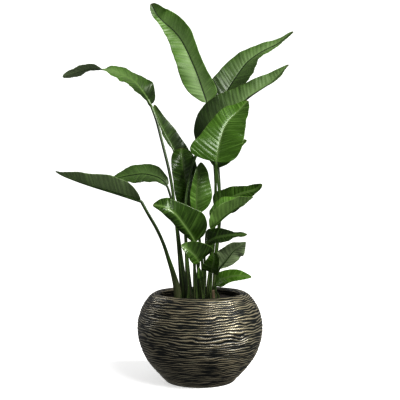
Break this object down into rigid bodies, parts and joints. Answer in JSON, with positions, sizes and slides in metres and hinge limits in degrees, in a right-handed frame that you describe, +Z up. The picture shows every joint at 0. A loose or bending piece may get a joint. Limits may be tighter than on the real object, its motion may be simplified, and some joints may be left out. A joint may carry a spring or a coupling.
{
  "type": "potted bird of paradise plant",
  "caption": "Tall foliage plant with long-stalked paddle-shaped leaves, rooted in soil in a ball-shaped planter with a rippled metallic glaze.",
  "frame": {"origin": "centre of the pot's flat underside", "axes": "+Z up, +X to the right of the plant's front, -Y out of its front"},
  "size_m": [0.8127, 0.42, 1.3016],
  "materials": {
    "pot_glaze": "rippled bronze glaze over dark grooves, satin",
    "soil": "rough, matte, damp potting soil",
    "leaf_blade": "waxy gloss above, duller and paler below",
    "leaf_stalk": "smooth, satin",
    "dry_sheath": "dry, matte"
  },
  "bodies": {
    "root": {"pot": "pot_glaze", "soil": "soil", "young_shoot": "leaf_stalk", "old_sheath": "dry_sheath", "leaf_top_stalk": "leaf_stalk", "leaf_top_blade": "leaf_blade", "leaf_back_right_stalk": "leaf_stalk", "leaf_back_right_blade": "leaf_blade", "leaf_right_stalk": "leaf_stalk", "leaf_right_blade": "leaf_blade", "leaf_front_stalk": "leaf_stalk", "leaf_front_blade": "leaf_blade", "leaf_behind_front_stalk": "leaf_stalk", "leaf_behind_front_blade": "leaf_blade", "leaf_left_arch_stalk": "leaf_stalk", "leaf_left_arch_blade": "leaf_blade", "leaf_left_low_stalk": "leaf_stalk", "leaf_left_low_blade": "leaf_blade", "leaf_left_small_stalk": "leaf_stalk", "leaf_left_small_blade": "leaf_blade", "leaf_left_narrow_stalk": "leaf_stalk", "leaf_left_narrow_blade": "leaf_blade", "leaf_centre_dark_stalk": "leaf_stalk", "leaf_centre_dark_blade": "leaf_blade", "leaf_centre_glossy_stalk": "leaf_stalk", "leaf_centre_glossy_blade": "leaf_blade", "leaf_front_left_stalk": "leaf_stalk", "leaf_front_left_blade": "leaf_blade", "leaf_right_back_stalk": "leaf_stalk", "leaf_right_back_blade": "leaf_blade", "leaf_right_folded_stalk": "leaf_stalk", "leaf_right_folded_blade": "leaf_blade", "leaf_lower_front_stalk": "leaf_stalk", "leaf_lower_front_blade": "leaf_blade", "leaf_lower_left_stalk": "leaf_stalk", "leaf_lower_left_blade": "leaf_blade", "leaf_lower_right_stalk": "leaf_stalk", "leaf_lower_right_blade": "leaf_blade", "leaf_young_cup_stalk": "leaf_stalk", "leaf_young_cup_blade": "leaf_blade", "leaf_young_spear_stalk": "leaf_stalk", "leaf_young_spear_blade": "leaf_blade", "leaf_rim_stalk": "leaf_stalk", "leaf_rim_blade": "leaf_blade"}
  },
  "joints": []
}
